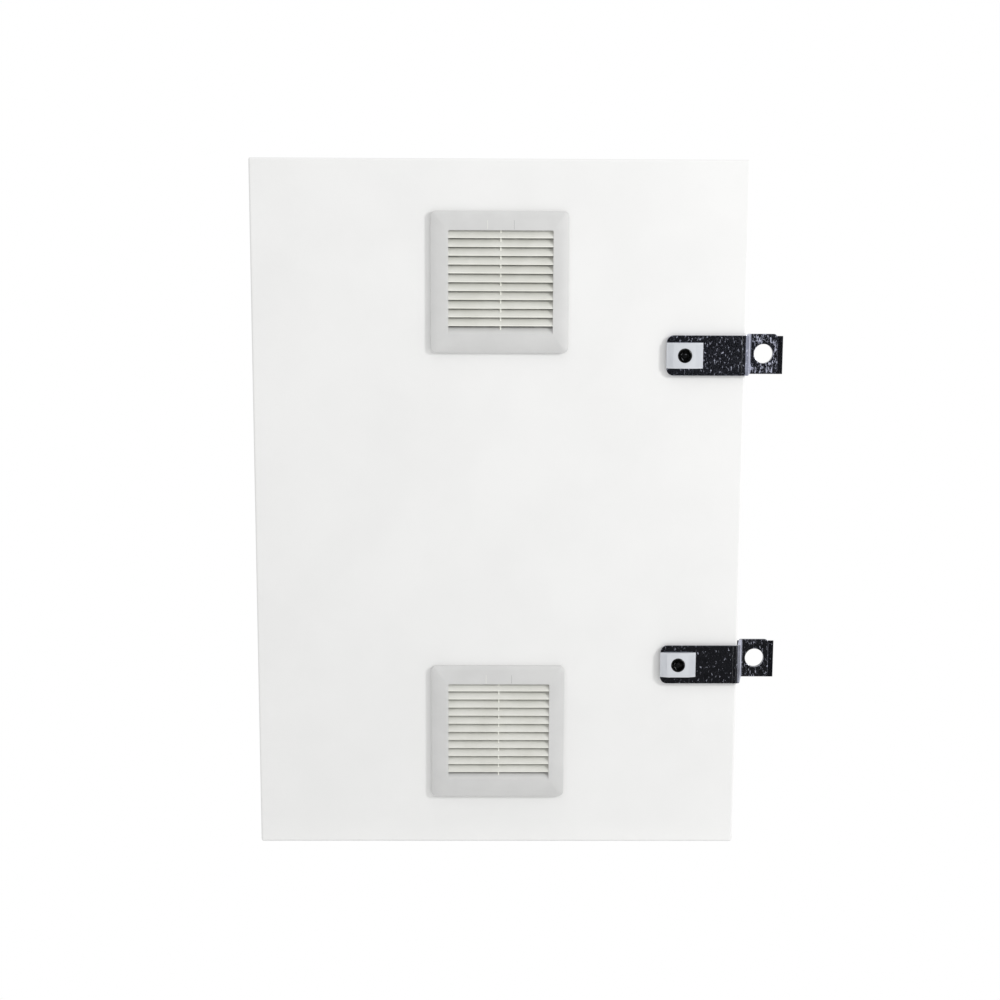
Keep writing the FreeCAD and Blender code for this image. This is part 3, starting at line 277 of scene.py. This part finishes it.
def zinc_plate(name, dark, light, roughness, bloom, wear_and_glint):
    """Bright zinc: rolling lines along X, cloudy chromate, and streaks that thicken on the tab."""
    material = finish(name, dark, light, roughness, 0.8 * MM, 0.006 * MM, 1.0, (0.12, 1, 1), 0.1)
    tree = material.node_tree
    shader = tree.nodes["Principled BSDF"]
    place = add(tree, "ShaderNodeTexCoord").outputs["Object"]
    patches = {"Vector": place, "Scale": 1 / (7 * MM), "Detail": 8.0, "Roughness": 0.7}
    cloud = add(tree, "ShaderNodeTexNoise", patches).outputs["Fac"]
    drawn = add(tree, "ShaderNodeMapping", {"Vector": place, "Scale": (1, 1, 0.45)}).outputs["Vector"]
    fine = {"Vector": drawn, "Scale": 1 / (1.7 * MM), "Detail": 3.0, "Roughness": 0.6, "Distortion": 0.6}
    streak = add(tree, "ShaderNodeTexNoise", fine).outputs["Fac"]
    axes = add(tree, "ShaderNodeSeparateXYZ", {"Vector": place}).outputs
    reach = {"Value": axes["X"], "From Min": 248 * MM, "From Max": 253 * MM, "To Max": wear_and_glint}
    on_tab = add(tree, "ShaderNodeMapRange", reach).outputs["Result"]
    raised = add(tree, "ShaderNodeMath", {0: streak, 1: on_tab}, operation="ADD").outputs["Value"]
    limits = {"Value": raised, "From Min": bloom, "From Max": bloom + 0.12}
    streaks = add(tree, "ShaderNodeMapRange", limits).outputs["Result"]
    # The web is painted pale all over, a painted reflection of a white wall; the streaks are the zinc's own
    # bloom.
    web_reflection = add(tree, "ShaderNodeMath", {0: axes["Y"], 1: WEB_MIDDLE, 2: WEB_HALF}, operation="COMPARE")
    either = {0: streaks, 1: web_reflection.outputs["Value"]}
    streaks_and_reflection = add(tree, "ShaderNodeMath", either, operation="MAXIMUM").outputs["Value"]
    tint = graded(tree, cloud, (0.32, dark), (0.5, light), (0.68, light))
    mix = add(tree, "ShaderNodeMix", data_type="RGBA")
    tree.links.new(streaks_and_reflection, mix.inputs[0])
    tree.links.new(tint, mix.inputs[6])
    mix.inputs[7].default_value = linear("C6C9DA")
    tree.links.new(mix.outputs[2], shader.inputs["Base Color"])
    sheen = add(tree, "ShaderNodeMapRange", {"Value": streaks_and_reflection, "To Min": 1.0, "To Max": 0.35}).outputs["Result"]
    tree.links.new(sheen, shader.inputs["Metallic"])
    gloss = add(tree, "ShaderNodeMapRange", {"Value": streaks_and_reflection, "To Min": roughness, "To Max": 0.6})
    tree.links.new(gloss.outputs["Result"], shader.inputs["Roughness"])
    return material


pale_zinc = zinc_plate("bright zinc plate on flat bar", "8E91A2", "A4A8BA", 0.15, 0.59, 0.045)
# The lower hasp and the cabinet tabs are the same zinc as the upper hasp, drawn darker: painted reflection.
darker_reflection_zinc = zinc_plate("bright zinc plate, painted darker reflection", "6E7078", "82848E", 0.13, 0.612, 0.035)
tab_zinc = zinc_plate("zinc plate, painted darkest reflection", "4A4C54", "5C5E68", 0.2, 0.64, 0)
bracket_zinc = finish("zinc plated steel sheet", "B4B7BA", "C2C5C8", 0.38, 2 * MM, 0.01 * MM, metallic=1.0)
turned_steel = finish("zinc plated screws", "A8ABAF", "B9BCC0", 0.30, 0.6 * MM, 0.01 * MM, metallic=1.0)
drawn_brass = finish("drawn brass", "C79A4A", "D3A95B", 0.28, 0.6 * MM, 0.008 * MM, 1.0, (0.1, 1, 1))
tinned_copper = finish("tinned copper", "BDB5A8", "CFC8BD", 0.32, 0.8 * MM, 0.01 * MM, metallic=1.0)
print("metals made")

# %% [markdown]
# ### Filter fleece and display
# The filter is a mat of white polyester fibres, so its surface is a tangle a few tenths of a
# millimetre thick. The display is a dark window with a slightly green glass.

# %% Fleece and display
fleece = finish("polyester filter fleece", "C9C9C4", "E2E2DE", 0.95, 0.5 * MM, 0.5 * MM)
display = finish("display window, unlit", "0B1512", "101C18", 0.10, 4 * MM, 0.001 * MM, coat=1.0, spread=0.02)

FINISHES = {
    "powder_coat": powder_coat, "zinc": bracket_zinc, "steel": turned_steel,
    "grille_plastic": grille_abs, "lock_plastic": block_pa, "black_die_cast": die_cast,
    "foam": epdm_foam, "fleece": fleece, "black_plastic": black_bmc, "grey_plastic": grey_pc,
    "white_plastic": white_pa, "red_plastic": signal_red, "screen": display,
    "green_plastic": signal_green, "brass": drawn_brass, "tinned_copper": tinned_copper,
}
SPECIAL = {
    "upper_hasp": pale_zinc, "lower_hasp": darker_reflection_zinc, "upper_cabinet_tab": tab_zinc,
    "lower_cabinet_tab": tab_zinc, "left_duct": duct_pvc, "right_duct": duct_pvc,
    "controller_case": case_grey,
}
slot_of = {part["node"]: part["material_slot"] for part in frame["record"]["subparts"]}
for name, obj in frame["nodes"].items():
    obj.data.materials.clear()
    obj.data.materials.append(SPECIAL.get(name, FINISHES[slot_of[name]]))
print("finishes on", len(frame["nodes"]), "CAD nodes")

# %% [markdown]
# ## Edges
# No real edge is a knife edge: bar is deburred, mouldings have a radius in the tool. Each
# casing and bracket is copied from its CAD part, its loose triangles are merged into faces, and
# its sharp edges get a small bevel, which is what draws the thin bright lines along them.

# %% Rounded copies of the CAD parts
BODY_OF = {name: body for body, names in frame["record"]["behaviour"]["bodies"].items() for name in names}


def finished(form, name, material, body, smooth=35):
    """Turns a bmesh into a piece that rides on a body."""
    mesh = bpy.data.meshes.new(name)
    form.to_mesh(mesh)
    form.free()
    mesh.materials.append(material)
    mesh.polygons.foreach_set("use_smooth", [True] * len(mesh.polygons))
    mesh.set_sharp_from_angle(angle=math.radians(smooth))
    piece = bpy.data.objects.new(name, mesh)
    scene.collection.objects.link(piece)
    normals = piece.modifiers.new("even shading", "WEIGHTED_NORMAL")
    normals.keep_sharp = True
    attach(piece, body)
    return piece


def rounded(node, width, segments=2):
    """A copy of a CAD node with its edges rounded."""
    form = bmesh.new()
    form.from_mesh(frame["nodes"][node].data)
    bmesh.ops.remove_doubles(form, verts=form.verts, dist=0.005 * MM)
    flat = math.radians(1)
    bmesh.ops.dissolve_limit(form, angle_limit=flat, verts=form.verts, edges=form.edges)
    sharp = [edge for edge in form.edges if edge.is_manifold and edge.calc_face_angle() > math.radians(40)]
    bmesh.ops.bevel(form, geom=sharp, offset=width, segments=segments, profile=0.5, affect="EDGES",
                    material=-1, clamp_overlap=True)
    material = frame["nodes"][node].data.materials[0]
    piece = finished(form, f"{node}_rounded", material, BODY_OF[node])
    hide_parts(node)


ROUNDED = {
    0.35 * MM: ("upper_hasp", "lower_hasp", "upper_cabinet_tab", "lower_cabinet_tab"),
    0.5 * MM: ("first_source_poles", "second_source_poles", "first_breaker", "second_breaker",
               "upper_lock_housing", "lower_lock_housing", "earth_bar"),
    0.8 * MM: ("operator_case", "changeover_handle", "controller_case"),
    0.25 * MM: ("first_breaker_lever", "second_breaker_lever", "control_terminals",
                "auto_button", "test_button", "first_button", "second_button"),
}
for width, names in ROUNDED.items():
    for name in names:
        rounded(name, width)
print("edges rounded on", sum(len(names) for names in ROUNDED.values()), "parts")

# %% [markdown]
# ## Grille covers
# Each vent cover is one ABS moulding: a square frame with a shallow slope round its face, and a
# stack of blades that lean outwards and down so that rain runs off in front. The opening sits a
# millimetre to the right of the frame's middle. The frame starts as one rounded face at the back
# of its outline. The face is extruded from ring to ring, and each new ring is fitted to its own
# rounded rectangle: outline, slope, opening. Then the two end faces go, and their rims are bridged.

# %% Sizes of a cover, from the CAD part
cover_low, cover_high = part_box("upper_grille_cover")
HALF_WIDTH = (cover_high.x - cover_low.x) / 2
HALF_HEIGHT = (cover_high.z - cover_low.z) / 2
FRONT = cover_low.y
BACK = cover_high.y
OPEN_SIDE = 52.6 * MM
ASIDE = 1.1 * MM
OPEN_TOP = 50.7 * MM
SLOPE_WIDTH = 6.8 * MM
SLOPE_DROP = 3 * MM
PITCH = 8.62 * MM
BLADES = 11
NOSE = FRONT + 0.5 * MM
HEEL = BACK - 1.6 * MM
print("cover", round(2 * HALF_WIDTH / MM, 1), "x", round(2 * HALF_HEIGHT / MM, 1), "mm")


# %% The frame of a cover
SECTION = (
    (HALF_WIDTH, HALF_HEIGHT, 5 * MM, BACK, 0),
    (HALF_WIDTH, HALF_HEIGHT, 5 * MM, FRONT + SLOPE_DROP, 0),
    (HALF_WIDTH - SLOPE_WIDTH, HALF_HEIGHT - SLOPE_WIDTH, 2 * MM, FRONT, 0),
    (OPEN_SIDE, OPEN_TOP, 1.2 * MM, FRONT, ASIDE),
    (OPEN_SIDE, OPEN_TOP, 1.2 * MM, HEEL, ASIDE),
)


def reshape(verts, now, then, level):
    """Moves the corners of one rounded rectangle onto those of another."""
    for vert in verts:
        side = math.copysign(1, vert.co.x - now[4])
        rise = math.copysign(1, vert.co.z - level)
        along = (vert.co.x - now[4] - side * (now[0] - now[2])) / now[2]
        up = (vert.co.z - level - rise * (now[1] - now[2])) / now[2]
        vert.co.x = then[4] + side * (then[0] - then[2]) + along * then[2]
        vert.co.z = level + rise * (then[1] - then[2]) + up * then[2]
        vert.co.y = then[3]


def cover_frame(level):
    form = bmesh.new()
    half_x, half_z, radius, y = SECTION[0][:4]
    turn = Matrix.Translation((0, y, level)) @ Matrix.Rotation(math.radians(90), 4, "X")
    spread = Matrix.Diagonal((2 * half_x, 2 * half_z, 1, 1))
    made = bmesh.ops.create_grid(form, x_segments=1, y_segments=1, size=0.5, matrix=turn @ spread)
    bmesh.ops.bevel(form, geom=made["verts"], offset=radius, segments=6, profile=0.5,
                    affect="VERTICES", material=-1)
    face = list(form.faces)[0]
    for now, then in zip(SECTION, SECTION[1:]):
        run = bmesh.ops.extrude_face_region(form, geom=[face])
        ring = [item for item in run["geom"] if isinstance(item, bmesh.types.BMVert)]
        reshape(ring, now, then, level)
        face = [item for item in run["geom"] if isinstance(item, bmesh.types.BMFace)][0]
    caps = [item for item in form.faces if len(item.verts) > 4]
    bmesh.ops.delete(form, geom=caps, context="FACES_ONLY")
    bmesh.ops.bridge_loops(form, edges=[edge for edge in form.edges if edge.is_boundary])
    bmesh.ops.recalc_face_normals(form, faces=form.faces)
    turned = math.radians(25)
    sharp = [edge for edge in form.edges if edge.is_manifold and edge.calc_face_angle() > turned]
    bmesh.ops.bevel(form, geom=sharp, offset=0.3 * MM, segments=2, profile=0.5, affect="EDGES",
                    material=-1)
    print("cover frame:", len(form.faces), "faces")
    return form


# %% [markdown]
# The blades are alike, so one profile is drawn as six points and extruded across the opening.
# Each has a rounded nose in front and a heel against the filter. The lowest is part of the
# frame: a sill that slopes out to its face. A slim rib behind the middle ties the blades
# together, and shows only between them.

# %% Blades, sill and rib
def blade_profile(top):
    return [
        (NOSE, top - 0.86 * PITCH), (NOSE + 1.5 * MM, top - 0.88 * PITCH), (HEEL, top - 0.24 * PITCH),
        (HEEL, top), (HEEL - 0.9 * MM, top), (NOSE, top - 0.70 * PITCH),
    ]


def prism(form, profile, half):
    """Carries a profile in the YZ plane across from -half to half."""
    side = form.faces.new([form.verts.new((ASIDE - half, y, z)) for y, z in profile])
    run = bmesh.ops.extrude_face_region(form, geom=[side])
    moved = [item for item in run["geom"] if isinstance(item, bmesh.types.BMVert)]
    bmesh.ops.translate(form, verts=moved, vec=(2 * half, 0, 0))


def long_bevel(form, width, length):
    edges = [edge for edge in form.edges if edge.calc_length() > length]
    bmesh.ops.recalc_face_normals(form, faces=form.faces)
    bmesh.ops.bevel(form, geom=edges, offset=width, segments=2, profile=0.5, affect="EDGES", material=-1)


def small_block(form, centre, size, turn=None):
    """A block with bevelled edges inside a bmesh."""
    place = Matrix.Translation(centre)
    if turn:
        place = place @ turn
    made = bmesh.ops.create_cube(form, size=1, matrix=place @ Matrix.Diagonal((*size, 1)))
    edges = {edge for vert in made["verts"] for edge in vert.link_edges}
    bmesh.ops.bevel(form, geom=list(edges), offset=min(size) * 0.2, segments=2, profile=0.5,
                    affect="EDGES", material=-1)


def louvres(name, level):
    body = f"{name}_cover"
    blades = bmesh.new()
    noses = bmesh.new()
    for step in range(BLADES):
        top = level + OPEN_TOP - step * PITCH
        prism(blades, blade_profile(top), OPEN_SIDE + 0.4 * MM)
        low = top - 0.86 * PITCH
        tip = [(NOSE - 0.12 * MM, low - 0.03 * MM), (NOSE + 1.2 * MM, low - 0.15 * MM),
               (NOSE + 1.2 * MM, low + 0.3 * MM), (NOSE - 0.12 * MM, low + 0.75 * MM)]
        prism(noses, tip, OPEN_SIDE)
    long_bevel(blades, 0.3 * MM, OPEN_SIDE)
    long_bevel(noses, 0.1 * MM, OPEN_SIDE)
    finished(blades, f"{name}_cover_blades", blade_abs, body)
    # The noses are a strip of paler ABS, a painted highlight along each nose.
    finished(noses, f"{name}_cover_noses", highlight_abs, body)
    sill = bmesh.new()
    top = level + OPEN_TOP - BLADES * PITCH
    foot = level - OPEN_TOP
    slope = [(FRONT + 0.3 * MM, foot - 0.3 * MM), (HEEL, foot - 0.3 * MM), (HEEL, top - 0.2 * MM),
             (HEEL - 0.9 * MM, top - 0.2 * MM), (FRONT + 0.3 * MM, foot + 0.5 * MM)]
    prism(sill, slope, OPEN_SIDE + 0.4 * MM)
    long_bevel(sill, 0.25 * MM, OPEN_SIDE)
    finished(sill, f"{name}_cover_sill", grille_abs, body)
    rib = bmesh.new()
    middle = (ASIDE, (NOSE + HEEL) / 2 + 1.4 * MM, level)
    small_block(rib, middle, (1.5 * MM, HEEL - NOSE - 2.6 * MM, 2 * OPEN_TOP))
    # The rib is drawn in the same paler ABS, a painted highlight where it shows between the blades.
    finished(rib, f"{name}_cover_rib", highlight_abs, body)


# %% [markdown]
# Two short upright lines stand above the opening, as beside a release tab. They are thin bars,
# a pale one on the left, a painted highlight, and a grey one on the right, painted shade.

# %% Clip lines, and both covers
def clip_lines(name, level):
    for side, material in ((-1, highlight_abs), (1, groove_shade)):
        line = bmesh.new()
        centre = (ASIDE + side * 13.3 * MM, FRONT + 0.18 * MM, level + OPEN_TOP + 5.4 * MM)
        small_block(line, centre, (0.3 * MM, 0.4 * MM, 9 * MM))
        part = "left" if side < 0 else "right"
        finished(line, f"{name}_{part}_clip_line", material, f"{name}_cover")


for name in ("upper", "lower"):
    low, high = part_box(f"{name}_grille_cover")
    level = (low.z + high.z) / 2
    piece = finished(cover_frame(level), f"{name}_cover_frame", grille_abs, f"{name}_cover",
                     50)
    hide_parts(f"{name}_grille_cover")
    louvres(name, level)
    clip_lines(name, level)
    print(name, "cover at", round(level / MM), "mm")

# %% [markdown]
# ## Lock blocks
# The grey block round each lock has fine ribs on its two slopes, for a finger to feel in the
# dark. They are thin bars laid along the slope. The core inside is turned in one piece with its
# pin and two bits, and a dark rim lines the mouth of the socket. Three thin bright bars on the
# core are painted glints.

# %% Ribs and socket rims
RIBS = 6


def lock_details(name):
    low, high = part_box(f"{name}_lock_housing")
    core_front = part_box(f"{name}_lock_core")[0].y
    middle = Vector(((low.x + high.x) / 2, low.y, (low.z + high.z) / 2))
    form = bmesh.new()
    rise = 3.5 * MM
    slope = 8 * MM
    for side in (-1, 1):
        lean = Matrix.Rotation(-side * math.atan2(rise, slope), 4, "Z")
        for step in range(RIBS):
            share = (step + 0.8) / (RIBS + 0.6)
            x = middle.x + side * (high.x - low.x - 2 * slope * (1 - share)) / 2
            y = low.y + rise * share
            small_block(form, (x, y, middle.z), (0.6 * MM, 0.5 * MM, 0.86 * (high.z - low.z)), lean)
    finished(form, f"{name}_lock_ribs", block_pa, "door")
    rim = bmesh.new()
    turn = Matrix.Translation((middle.x, low.y, middle.z))
    start = rim.verts.new((6.2 * MM, 0, 0))
    end = rim.verts.new((7.1 * MM, 0, 0))
    edge = rim.edges.new((start, end))
    drop = rim.verts.new((6.2 * MM, 4 * MM, 0))
    inner = rim.edges.new((start, drop))
    bmesh.ops.spin(rim, geom=[start, end, drop, edge, inner], cent=(0, 0, 0), axis=(0, 1, 0), steps=48,
                   angle=math.tau, use_merge=True)
    bmesh.ops.transform(rim, matrix=turn @ Matrix.Translation((0, 0.09 * MM, 0)), verts=rim.verts)
    bmesh.ops.recalc_face_normals(rim, faces=rim.faces)
    piece = finished(rim, f"{name}_socket_rim", die_cast, "door")
    thick = piece.modifiers.new("wall", "SOLIDIFY")
    thick.thickness = 0.15 * MM
    thick.offset = 0
    core = bmesh.new()
    # Three bright steel bars on the core are painted glints, painted highlights on its edges.
    wear_and_glint = Vector((middle.x, core_front - 0.1 * MM, middle.z))
    small_block(core, wear_and_glint + Vector((-2.6 * MM, 0, -3.2 * MM)), (0.6 * MM, 0.3 * MM, 3.4 * MM),
                Matrix.Rotation(math.radians(-35), 4, "Y"))
    small_block(core, wear_and_glint + Vector((0.6 * MM, 0, 1.2 * MM)), (1.6 * MM, 0.3 * MM, 0.7 * MM))
    small_block(core, wear_and_glint + Vector((-3.4 * MM, 0, 1.6 * MM)), (0.5 * MM, 0.3 * MM, 2.6 * MM),
                Matrix.Rotation(math.radians(25), 4, "Y"))
    finished(core, f"{name}_painted_glints", turned_steel, BODY_OF[f"{name}_lock_core"])


for name in ("upper", "lower"):
    lock_details(name)
print("lock blocks detailed")

# %% [markdown]
# Each bend's radius shows fine bright lines, drawn as painted highlights. The upper hasp has one
# of them and the lower hasp two, each a hair-thin bar of bright steel on the plate.

# %% Bend highlights
BEND_HIGHLIGHTS = {"upper": (0.2460,), "lower": (0.2452, 0.2487)}
for name, places in BEND_HIGHLIGHTS.items():
    low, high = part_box(f"{name}_hasp")
    lines = bmesh.new()
    for x in places:
        small_block(lines, (x, low.y + 0.02 * MM, (low.z + high.z) / 2), (0.4 * MM, 0.1 * MM, 38.6 * MM))
    finished(lines, f"{name}_bend_highlights", turned_steel, "door")
# The bend lines are painted highlights.
print("bend lines scribed")

# %% [markdown]
# ## Screw heads
# The casings inside are held together by pan-head screws with a cross recess. One head is a
# half circle spun round its axis, and the recess is painted shade: two small black bars let into
# the top. The same few faces serve for all of them.

# %% Screws on the casings
def screw_head(form, x, y, z, radius):
    """A domed head on a face that looks towards -Y."""
    rim = [form.verts.new((x + radius * math.cos(step), y - 0.45 * radius * math.sin(step), z))
           for step in (0, math.pi / 8, math.pi / 4, 3 * math.pi / 8)]
    crown = form.verts.new((x, y - 0.45 * radius, z))
    path = rim + [crown]
    edges = [form.edges.new(pair) for pair in zip(path, path[1:])]
    bmesh.ops.spin(form, geom=path + edges, cent=(x, y, z), axis=(0, 1, 0), steps=20, angle=math.tau,
                   use_merge=True)
    bmesh.ops.remove_doubles(form, verts=form.verts, dist=0.002 * MM)


def screws(name, places, radius, body="cabinet"):
    heads = bmesh.new()
    recess_shade = bmesh.new()
    for x, y, z in places:
        screw_head(heads, x, y, z, radius)
        long, short, deep = 1.1 * radius, 0.22 * radius, 0.2 * radius
        # The cross recess is painted shade: two black bars across the head.
        for size in ((long, deep, short), (short, deep, long)):
            small_block(recess_shade, (x, y - 0.4 * radius, z), size)
    bmesh.ops.recalc_face_normals(heads, faces=heads.faces)
    finished(heads, f"{name}_screw_heads", turned_steel, body)
    finished(recess_shade, f"{name}_screw_recess_shade", black_bmc, body)


def corners_of(node, inset):
    low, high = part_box(node)
    return [(x, low.y, z) for x in (low.x + inset, high.x - inset) for z in (low.z + inset, high.z - inset)]


screws("operator", corners_of("operator_case", 8 * MM), 3 * MM)
screws("controller", corners_of("controller_case", 7 * MM), 2.2 * MM)
print("screws fitted")

# %% [markdown]
# ## Pole blocks and operator
# Each pole block has barriers moulded between its poles and cooling ribs on its face. The
# operator has three plain marks round its handle, for one source, off and the other source.

# %% Ribs and position marks
def pole_ribs(node):
    low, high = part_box(node)
    middle_x = (low.x + high.x) / 2
    middle_z = (low.z + high.z) / 2
    form = bmesh.new()
    for step in range(7):
        z = middle_z + (step - 3) * 5 * MM
        small_block(form, (middle_x, low.y + 0.3 * MM, z), (78 * MM, 2 * MM, 1.6 * MM))
    finished(form, f"{node}_ribs", black_bmc, "cabinet")


for node in ("first_source_poles", "second_source_poles"):
    pole_ribs(node)

case_low, case_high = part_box("operator_case")
switch_z = (case_low.z + case_high.z) / 2
scale = bmesh.new()
for angle in (-45, 0, 45):
    turn = Matrix.Rotation(math.radians(angle), 4, "Y")
    spot = Vector((0, case_low.y + 0.1 * MM, switch_z)) + turn @ Vector((0, 0, 53 * MM))
    small_block(scale, spot, (1.6 * MM, 0.8 * MM, 6 * MM), turn)
finished(scale, "position_marks", white_pa, "cabinet")

pointer = bmesh.new()
handle_low, handle_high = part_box("changeover_handle")
small_block(pointer, (0, handle_low.y + 0.1 * MM, handle_high.z - 13 * MM), (2 * MM, 0.8 * MM, 16 * MM))
finished(pointer, "handle_pointer", white_pa, "handle")
print("switch detailed")

# %% [markdown]
# ## Breakers and terminals
# A breaker's face has a line between its two poles, a terminal screw at each end and a small
# green window. The terminals below have a screw in each well.

# %% Details of the small devices
for name in ("first", "second"):
    low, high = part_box(f"{name}_breaker")
    middle = Vector(((low.x + high.x) / 2, low.y, (low.z + high.z) / 2))
    line = bmesh.new()
    small_block(line, (middle.x, low.y + 17.5 * MM, middle.z + 32 * MM), (0.5 * MM, 1 * MM, 18 * MM))
    small_block(line, (middle.x, low.y + 17.5 * MM, middle.z - 32 * MM), (0.5 * MM, 1 * MM, 18 * MM))
    finished(line, f"{name}_breaker_pole_line", groove_shade, "cabinet")
    window = bmesh.new()
    small_block(window, (middle.x, low.y + 0.1 * MM, middle.z - 16 * MM), (12 * MM, 0.6 * MM, 4 * MM))
    finished(window, f"{name}_breaker_window", signal_green, "cabinet")
    face_y = low.y + 17 * MM
    spots = [(middle.x + side * 9 * MM, face_y, middle.z + up * 34 * MM)
             for side in (-1, 1) for up in (-1, 1)]
    screws(f"{name}_breaker", spots, 3 * MM)

TERMINAL_PITCH = 8 * MM
rail_low, rail_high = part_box("control_terminals")
rail_z = (rail_low.z + rail_high.z) / 2
spots = [((step + 0.5) * TERMINAL_PITCH, rail_low.y + 3 * MM, rail_z + up * 14 * MM)
         for step in range(-10, 10) for up in (-1, 1)]
screws("terminal", spots, 2.3 * MM)

# %% Print the sizes and finish
low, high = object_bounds()
print("visual box", low, high)
